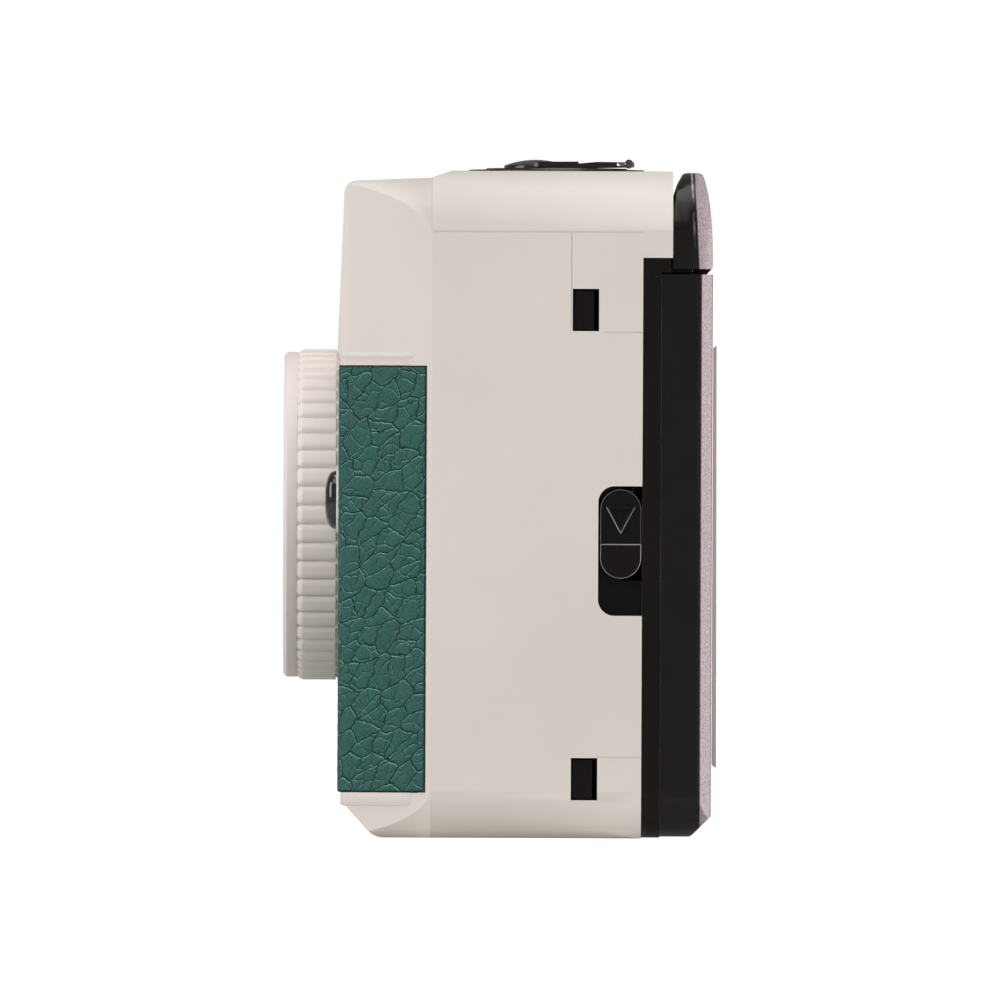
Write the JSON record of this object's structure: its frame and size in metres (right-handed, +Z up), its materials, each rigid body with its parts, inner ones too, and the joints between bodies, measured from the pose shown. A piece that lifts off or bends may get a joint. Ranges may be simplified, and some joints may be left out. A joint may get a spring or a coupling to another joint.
{
  "type": "half frame camera",
  "caption": "Compact half frame film camera with a ribbed lens ring, green leatherette band, built-in flash, hinged back and fold-out rewind crank.",
  "frame": {"origin": "on the face the camera stands on, under the middle of its overall box", "axes": "+X across the body towards the latch and rewind side, +Y from the lens to the back door, +Z up"},
  "size_m": [0.11, 0.0398, 0.062],
  "materials": {
    "cream_plastic": "fine satin moulded ABS",
    "ring_plastic": "satin moulded ABS",
    "leatherette": "green pebbled leatherette",
    "black_plastic": "black moulded ABS",
    "black_gloss": "glossy black plastic",
    "clear_plastic": "clear acrylic",
    "lens": "moulded acrylic lens",
    "steel": "steel",
    "brass": "plated brass",
    "aluminium": "polished reflector",
    "foam": "black foam",
    "board": "green circuit board",
    "capacitor": "dark sleeve",
    "dial": "white dial"
  },
  "bodies": {
    "camera": {"front_cover": "cream_plastic", "body_shell": "cream_plastic", "leatherette": "leatherette", "finder_window": "clear_plastic", "flash_window": "clear_plastic", "ready_lamp": "black_gloss", "lens_bezel": "black_plastic", "lens_barrel": "black_plastic", "front_lens": "lens", "rear_lens": "lens", "shutter_plate": "steel", "blade_spring": "steel", "button_spring": "steel", "chassis": "black_plastic", "finder_tunnel": "black_plastic", "upper_back_panel": "black_plastic", "eyepiece_lens": "clear_plastic", "hinge_pin": "steel", "light_seal": "foam", "latch_spring": "steel", "counter_window": "clear_plastic", "rewind_button_spring": "steel", "battery_door_pin": "steel", "battery_spring": "brass", "flash_reflector": "aluminium", "flash_tube": "clear_plastic", "flash_capacitor": "capacitor", "circuit_board": "board", "case_screws": "steel", "strap_bar": "steel"},
    "door": {"back_door": "black_plastic", "pressure_spring": "steel"},
    "film_plate": {"pressure_plate": "black_plastic"},
    "latch": {"latch_slider": "black_gloss"},
    "ring": {"flash_ring": "ring_plastic"},
    "button": {"shutter_button": "black_plastic"},
    "lever": {"release_lever": "steel"},
    "blade": {"shutter_blade": "steel"},
    "rewind_lift": {"rewind_sleeve": "black_plastic"},
    "rewind": {"rewind_knob": "black_gloss", "rewind_fork": "black_plastic", "crank_pin": "steel"},
    "crank": {"crank_lever": "black_plastic"},
    "advance": {"thumb_wheel": "black_plastic", "take_up_spool": "black_plastic"},
    "pawl": {"anti_return_pawl": "steel"},
    "film_sprocket": {"sprocket": "black_plastic"},
    "counter": {"counter_dial": "dial"},
    "rewind_release": {"rewind_button": "black_plastic"},
    "battery_hatch": {"battery_door": "cream_plastic", "door_contact": "brass"}
  },
  "joints": [
    {"name": "door_hinge", "type": "hinge", "parent": "camera", "child": "door", "pos_m": [-0.0526, 0.01695, 0.026], "axis": [0, 0, 1], "range_deg": [0, 115]},
    {"name": "film_plate_slide", "type": "slide", "parent": "door", "child": "film_plate", "axis": [0, 1, 0], "range_m": [0, 0.0003], "stiffness_N_per_m": 600},
    {"name": "latch_slide", "type": "slide", "parent": "camera", "child": "latch", "axis": [0, 0, -1], "range_m": [0, 0.0032], "stiffness_N_per_m": 250, "deforming": ["latch_spring"]},
    {"name": "flash_ring_turn", "type": "hinge", "parent": "camera", "child": "ring", "pos_m": [0, -0.017, 0.0294], "axis": [0, -1, 0], "range_deg": [0, 45]},
    {"name": "shutter_press", "type": "slide", "parent": "camera", "child": "button", "axis": [0, 0, -1], "range_m": [0, 0.0011], "stiffness_N_per_m": 400},
    {"name": "release_lever_pivot", "type": "hinge", "parent": "camera", "child": "lever", "pos_m": [-0.024, -0.00665, 0.0434], "axis": [0, -1, 0], "range_deg": [0, 4.6], "deforming": ["button_spring"]},
    {"name": "shutter_blade_pivot", "type": "hinge", "parent": "camera", "child": "blade", "pos_m": [-0.0085, -0.0071, 0.0364], "axis": [0, 1, 0], "range_deg": [0, 30], "stiffness_Nm_per_rad": 0.0005},
    {"name": "rewind_lift", "type": "slide", "parent": "camera", "child": "rewind_lift", "axis": [0, 0, 1], "range_m": [0, 0.0042]},
    {"name": "rewind_turn", "type": "hinge", "parent": "rewind_lift", "child": "rewind", "pos_m": [0.039, 0.0051, 0.06], "axis": [0, 0, 1], "continuous": true},
    {"name": "crank_fold", "type": "hinge", "parent": "rewind", "child": "crank", "pos_m": [0.039, 0.0032, 0.06144], "axis": [1, 0, 0], "range_deg": [0, 170]},
    {"name": "advance_turn", "type": "hinge", "parent": "camera", "child": "advance", "pos_m": [-0.0404, 0.0074, 0.054], "axis": [0, 0, 1], "continuous": true},
    {"name": "pawl_pivot", "type": "hinge", "parent": "camera", "child": "pawl", "pos_m": [-0.0266, -0.0016, 0.054], "axis": [0, 0, -1], "range_deg": [0, 8], "stiffness_Nm_per_rad": 0.0005},
    {"name": "sprocket_turn", "type": "hinge", "parent": "camera", "child": "film_sprocket", "pos_m": [-0.0182, 0.00765, 0.03], "axis": [0, 0, 1], "continuous": true},
    {"name": "counter_turn", "type": "hinge", "parent": "camera", "child": "counter", "pos_m": [-0.0182, 0.00765, 0.058], "axis": [0, 0, 1], "continuous": true},
    {"name": "rewind_button_press", "type": "slide", "parent": "camera", "child": "rewind_release", "axis": [0, 0, 1], "range_m": [0, 0.0015], "stiffness_N_per_m": 300, "deforming": ["rewind_button_spring"]},
    {"name": "battery_door_hinge", "type": "hinge", "parent": "camera", "child": "battery_hatch", "pos_m": [0.0184, 0.0074, 0.00075], "axis": [1, 0, 0], "range_deg": [0, 100]}
  ],
  "couplings": [
    {"joint": "release_lever_pivot", "follows": "shutter_press", "rad_per_m": 71.43},
    {"joint": "counter_turn", "follows": "sprocket_turn", "ratio": 0.025}
  ]
}
